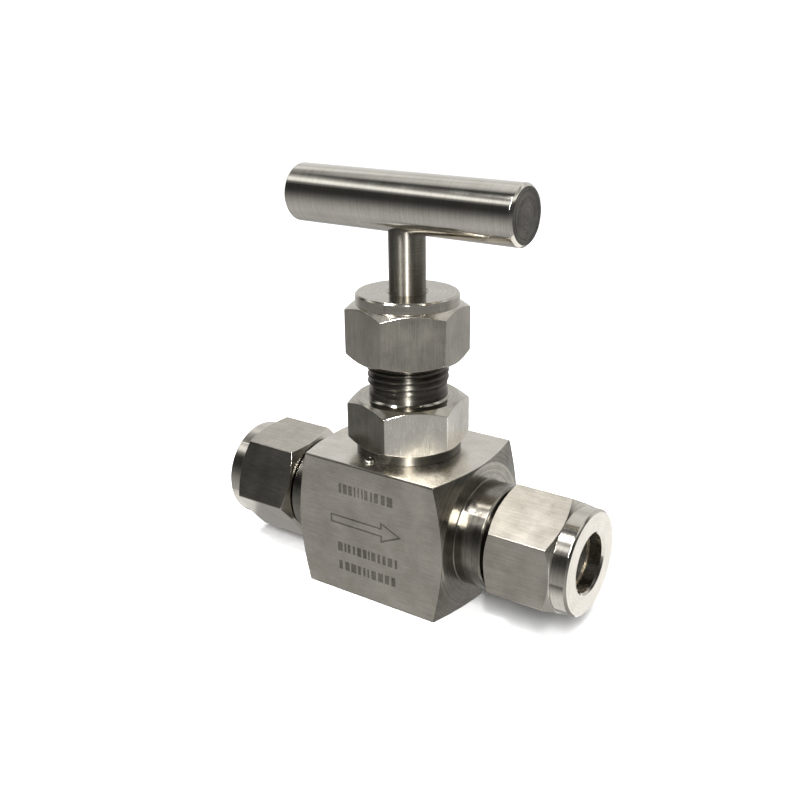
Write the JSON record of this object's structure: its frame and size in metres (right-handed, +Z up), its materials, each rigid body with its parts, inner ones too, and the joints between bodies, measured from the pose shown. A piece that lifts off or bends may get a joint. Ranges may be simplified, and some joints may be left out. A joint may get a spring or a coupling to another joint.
{
  "type": "needle valve",
  "caption": "Needle valve with a square bar-stock body, screwed bonnet, T-bar handle and a double-ferrule tube end on each side.",
  "frame": {"origin": "centre of the body's flat bottom face, on the stem axis", "axes": "+X along the flow, from inlet to outlet; +Z up the stem; +Y to the back, where the handle's set screw is"},
  "size_m": [0.092, 0.032, 0.0931],
  "materials": {
    "body_steel": "fine ground stainless steel bar",
    "bonnet_steel": "satin stainless steel hexagon bar, turned ends",
    "nut_steel": "satin stainless steel hexagon bar, turned ends",
    "handle_steel": "polished stainless steel round bar",
    "polished_steel": "polished stainless steel",
    "turned_steel": "turned stainless steel",
    "ferrule_steel": "turned stainless steel",
    "pin_steel": "hardened bright steel",
    "screw_steel": "dark alloy steel",
    "ptfe": "white PTFE"
  },
  "bodies": {
    "root": {"valve_body": "body_steel", "bonnet": "bonnet_steel", "bonnet_gasket": "ptfe", "bonnet_lock_pin": "pin_steel", "packing_support_ring": "turned_steel", "packing_ring_lower": "ptfe", "packing_ring_middle": "ptfe", "packing_ring_upper": "ptfe"},
    "needle": {"needle_tip": "polished_steel", "thrust_ball": "pin_steel"},
    "stem": {"stem": "polished_steel", "tip_retainer": "turned_steel", "tbar_handle": "handle_steel", "handle_set_screw": "screw_steel"},
    "follower": {"packing_follower": "turned_steel"},
    "gland": {"gland_nut": "nut_steel"},
    "inlet_ferrules": {"inlet_front_ferrule": "ferrule_steel", "inlet_back_ferrule": "ferrule_steel"},
    "inlet_nut": {"inlet_tube_nut": "nut_steel"},
    "outlet_ferrules": {"outlet_front_ferrule": "ferrule_steel", "outlet_back_ferrule": "ferrule_steel"},
    "outlet_nut": {"outlet_tube_nut": "nut_steel"}
  },
  "joints": [
    {"name": "needle_lift", "type": "slide", "parent": "root", "child": "needle", "axis": [0, 0, 1], "range_m": [-0.003, 0.003]},
    {"name": "handle_turn", "type": "hinge", "parent": "needle", "child": "stem", "pos_m": [0, 0, 0.0868], "axis": [0, 0, 1], "range_deg": [-864, 864]},
    {"name": "follower_lift", "type": "slide", "parent": "root", "child": "follower", "axis": [0, 0, 1], "range_m": [0, 0.0045]},
    {"name": "gland_nut_turn", "type": "hinge", "parent": "follower", "child": "gland", "pos_m": [0, 0, 0.06], "axis": [0, 0, 1], "range_deg": [0, 1080]},
    {"name": "inlet_ferrule_slide", "type": "slide", "parent": "root", "child": "inlet_ferrules", "axis": [-1, 0, 0], "range_m": [0, 0.00762]},
    {"name": "inlet_nut_turn", "type": "hinge", "parent": "inlet_ferrules", "child": "inlet_nut", "pos_m": [-0.036, 0, 0.016], "axis": [-1, 0, 0], "range_deg": [0, 2160]},
    {"name": "outlet_ferrule_slide", "type": "slide", "parent": "root", "child": "outlet_ferrules", "axis": [1, 0, 0], "range_m": [0, 0.00762]},
    {"name": "outlet_nut_turn", "type": "hinge", "parent": "outlet_ferrules", "child": "outlet_nut", "pos_m": [0.036, 0, 0.016], "axis": [1, 0, 0], "range_deg": [0, 2160]}
  ],
  "couplings": [
    {"joint": "needle_lift", "follows": "handle_turn", "m_per_rad": 0.00019894},
    {"joint": "follower_lift", "follows": "gland_nut_turn", "m_per_rad": 0.00023873},
    {"joint": "inlet_ferrule_slide", "follows": "inlet_nut_turn", "m_per_rad": 0.00020213},
    {"joint": "outlet_ferrule_slide", "follows": "outlet_nut_turn", "m_per_rad": 0.00020213}
  ]
}
